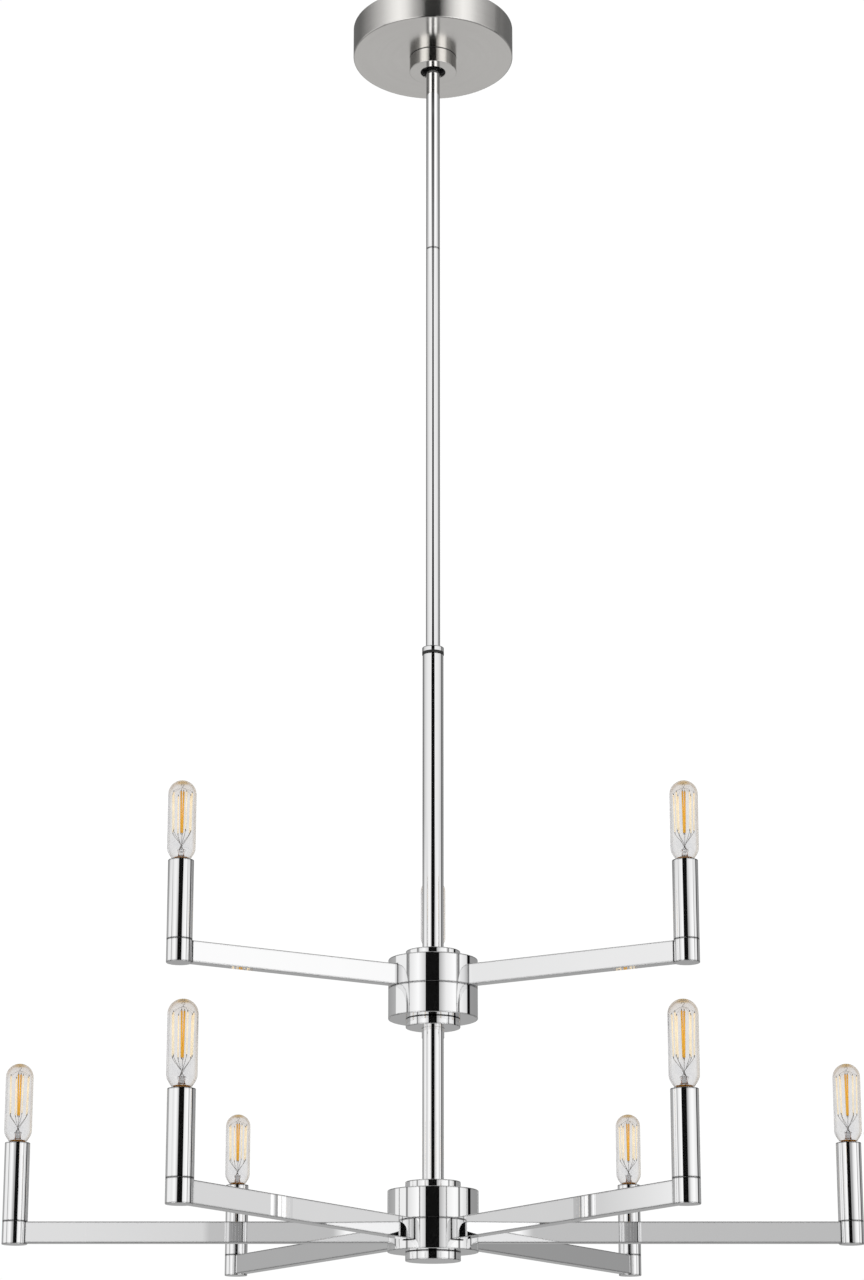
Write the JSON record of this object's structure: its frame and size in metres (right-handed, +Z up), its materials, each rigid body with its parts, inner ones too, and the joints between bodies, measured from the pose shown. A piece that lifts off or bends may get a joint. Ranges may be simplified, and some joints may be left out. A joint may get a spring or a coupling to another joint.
{
  "type": "multi arm chandelier",
  "caption": "Two-tier chandelier with straight rectangular arms in spokes, upright candle sleeves and tubular lamps, hung on a long rod from a round canopy by a ball swivel.",
  "frame": {"origin": "middle of the canopy's rim in the ceiling plane; the fixture hangs below it", "axes": "+Z up out of the ceiling end along the stem, +X along the two longest-spanning arms, -Y towards the front of the fixture"},
  "size_m": [0.8134, 0.6938, 1.2752],
  "materials": {
    "satin_nickel": "satin brushed nickel",
    "polished_chrome": "mirror-polished chrome plate",
    "zinc_steel": "zinc-plated steel",
    "brass_pipe": "threaded brass pipe",
    "green_screw": "green dyed earth screw",
    "black_nylon": "moulded black nylon",
    "black_phenolic": "moulded phenolic",
    "connector_plastic": "moulded twist-on splice",
    "wire_insulation": "extruded PVC insulation",
    "lamp_glass": "clear, faintly warm glass"
  },
  "bodies": {
    "ceiling_mount": {"canopy": "satin_nickel", "lock_collar": "satin_nickel", "swivel_housing": "zinc_steel", "crossbar": "zinc_steel", "ground_screw": "green_screw", "nipple": "brass_pipe", "nipple_locknut": "zinc_steel", "supply_leads": "wire_insulation"},
    "seat_body": {"swivel_seat": "black_nylon"},
    "cap_body": {"swivel_cap": "black_nylon"},
    "fixture": {"swivel_ball": "polished_chrome", "upper_rod": "polished_chrome", "lower_rod": "polished_chrome", "tube_cap": "polished_chrome", "body_tube": "polished_chrome", "lower_stem": "polished_chrome", "tube_bushings": "brass_pipe", "lamp_pipes": "brass_pipe", "arm_screws": "zinc_steel", "wire_connectors": "connector_plastic", "wiring": "wire_insulation", "upper_hub_disc": "polished_chrome", "upper_hub_shell": "polished_chrome", "upper_hub_cover": "polished_chrome", "upper_hub_ring": "polished_chrome", "lower_hub_disc": "polished_chrome", "lower_hub_cover": "polished_chrome", "lower_hub_shell": "polished_chrome", "finial": "polished_chrome", "upper_cups": "polished_chrome", "lower_cups": "polished_chrome", "lamp_sockets": "black_phenolic", "arm_upper_1": "polished_chrome", "sleeve_upper_1": "polished_chrome", "arm_upper_2": "polished_chrome", "sleeve_upper_2": "polished_chrome", "arm_upper_3": "polished_chrome", "sleeve_upper_3": "polished_chrome", "arm_lower_1": "polished_chrome", "sleeve_lower_1": "polished_chrome", "arm_lower_2": "polished_chrome", "sleeve_lower_2": "polished_chrome", "arm_lower_3": "polished_chrome", "sleeve_lower_3": "polished_chrome", "arm_lower_4": "polished_chrome", "sleeve_lower_4": "polished_chrome", "arm_lower_5": "polished_chrome", "sleeve_lower_5": "polished_chrome", "arm_lower_6": "polished_chrome", "sleeve_lower_6": "polished_chrome"},
    "lamp_body_upper_1": {"lamp_upper_1": "lamp_glass"},
    "lamp_body_upper_2": {"lamp_upper_2": "lamp_glass"},
    "lamp_body_upper_3": {"lamp_upper_3": "lamp_glass"},
    "lamp_body_lower_1": {"lamp_lower_1": "lamp_glass"},
    "lamp_body_lower_2": {"lamp_lower_2": "lamp_glass"},
    "lamp_body_lower_3": {"lamp_lower_3": "lamp_glass"},
    "lamp_body_lower_4": {"lamp_lower_4": "lamp_glass"},
    "lamp_body_lower_5": {"lamp_lower_5": "lamp_glass"},
    "lamp_body_lower_6": {"lamp_lower_6": "lamp_glass"}
  },
  "joints": [
    {"name": "swivel_turn", "type": "hinge", "parent": "ceiling_mount", "child": "seat_body", "pos_m": [0, 0, -0.0325], "axis": [0, 0, 1], "range_deg": [-170, 170]},
    {"name": "swivel_tilt_x", "type": "hinge", "parent": "seat_body", "child": "cap_body", "pos_m": [0, 0, -0.0325], "axis": [1, 0, 0], "range_deg": [-12, 12]},
    {"name": "swivel_tilt_y", "type": "hinge", "parent": "cap_body", "child": "fixture", "pos_m": [0, 0, -0.0325], "axis": [0, 1, 0], "range_deg": [-12, 12]},
    {"name": "lamp_out_upper_1", "type": "slide", "parent": "fixture", "child": "lamp_body_upper_1", "axis": [0, 0, 1], "range_m": [0, 0.04]},
    {"name": "lamp_out_upper_2", "type": "slide", "parent": "fixture", "child": "lamp_body_upper_2", "axis": [0, 0, 1], "range_m": [0, 0.04]},
    {"name": "lamp_out_upper_3", "type": "slide", "parent": "fixture", "child": "lamp_body_upper_3", "axis": [0, 0, 1], "range_m": [0, 0.04]},
    {"name": "lamp_out_lower_1", "type": "slide", "parent": "fixture", "child": "lamp_body_lower_1", "axis": [0, 0, 1], "range_m": [0, 0.04]},
    {"name": "lamp_out_lower_2", "type": "slide", "parent": "fixture", "child": "lamp_body_lower_2", "axis": [0, 0, 1], "range_m": [0, 0.04]},
    {"name": "lamp_out_lower_3", "type": "slide", "parent": "fixture", "child": "lamp_body_lower_3", "axis": [0, 0, 1], "range_m": [0, 0.04]},
    {"name": "lamp_out_lower_4", "type": "slide", "parent": "fixture", "child": "lamp_body_lower_4", "axis": [0, 0, 1], "range_m": [0, 0.04]},
    {"name": "lamp_out_lower_5", "type": "slide", "parent": "fixture", "child": "lamp_body_lower_5", "axis": [0, 0, 1], "range_m": [0, 0.04]},
    {"name": "lamp_out_lower_6", "type": "slide", "parent": "fixture", "child": "lamp_body_lower_6", "axis": [0, 0, 1], "range_m": [0, 0.04]}
  ]
}
